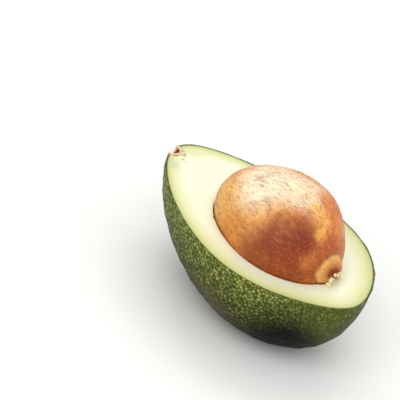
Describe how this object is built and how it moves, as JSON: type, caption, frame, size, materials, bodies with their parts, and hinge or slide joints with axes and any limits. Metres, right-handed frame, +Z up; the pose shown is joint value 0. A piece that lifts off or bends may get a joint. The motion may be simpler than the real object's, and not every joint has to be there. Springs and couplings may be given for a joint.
{
  "type": "avocado half",
  "caption": "Half of a ripe avocado cut lengthways, lying on its back with the cut face up and its brown seed in place.",
  "frame": {"origin": "on the surface that the fruit rests on, under the middle of its length and width", "axes": "+X along the fruit from the stem end to the blossom end, +Y across it, +Z up, out of the cut face"},
  "size_m": [0.1, 0.069, 0.0613],
  "materials": {
    "skin": "pebbly dark green skin, yellow-green dots, satin",
    "flesh": "smooth moist cream flesh, yellow-green towards the skin",
    "seed_coat": "thin wrinkled orange-brown seed coat, satin gloss",
    "cork": "dry torn cork"
  },
  "bodies": {
    "root": {"fruit_half": "skin", "seed": "seed_coat", "stem_remnant": "cork"}
  },
  "joints": []
}
